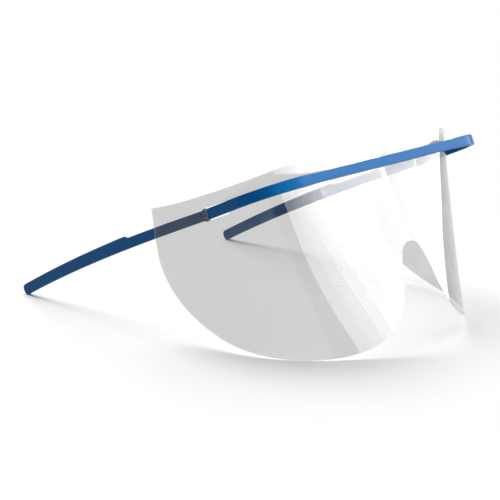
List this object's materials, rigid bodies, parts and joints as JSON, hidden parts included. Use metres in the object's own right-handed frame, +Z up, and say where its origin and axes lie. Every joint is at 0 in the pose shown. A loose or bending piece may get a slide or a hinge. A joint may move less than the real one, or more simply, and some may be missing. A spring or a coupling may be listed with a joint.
{
  "type": "disposable eye shield",
  "caption": "Slim spectacle-style frame with a straight brow bar and folding temples, carrying one clear wrap-around film with a nose arch and rounded lobes.",
  "frame": {"origin": "bottom centre of the whole shield's box, on the surface that the lobes and temple tips stand on", "axes": "+X towards the wearer's left, +Y back along the temples, +Z up; the wearer faces -Y. The frame's own plane is tipped 25.13 degrees about X, brow high and temple tips low."},
  "size_m": [0.1554, 0.1778, 0.0842],
  "materials": {
    "frame_plastic": "translucent dark blue moulded plastic, satin gloss",
    "pin_plastic": "dark blue moulded plastic",
    "clear_film": "clear glossy sheet, faintly grey"
  },
  "bodies": {
    "front": {"brow_bar": "frame_plastic", "hinge_pin_right": "pin_plastic", "hinge_pin_left": "pin_plastic", "visor_film": "clear_film"},
    "right_temple": {"temple_right": "frame_plastic"},
    "left_temple": {"temple_left": "frame_plastic"}
  },
  "joints": [
    {"name": "right_temple_fold", "type": "hinge", "parent": "front", "child": "right_temple", "pos_m": [-0.07352, -0.02938, 0.05863], "axis": [0, -0.4247, -0.9053], "range_deg": [0, 76]},
    {"name": "left_temple_fold", "type": "hinge", "parent": "front", "child": "left_temple", "pos_m": [0.07352, -0.02938, 0.05863], "axis": [0, 0.4247, 0.9053], "range_deg": [0, 88]}
  ]
}
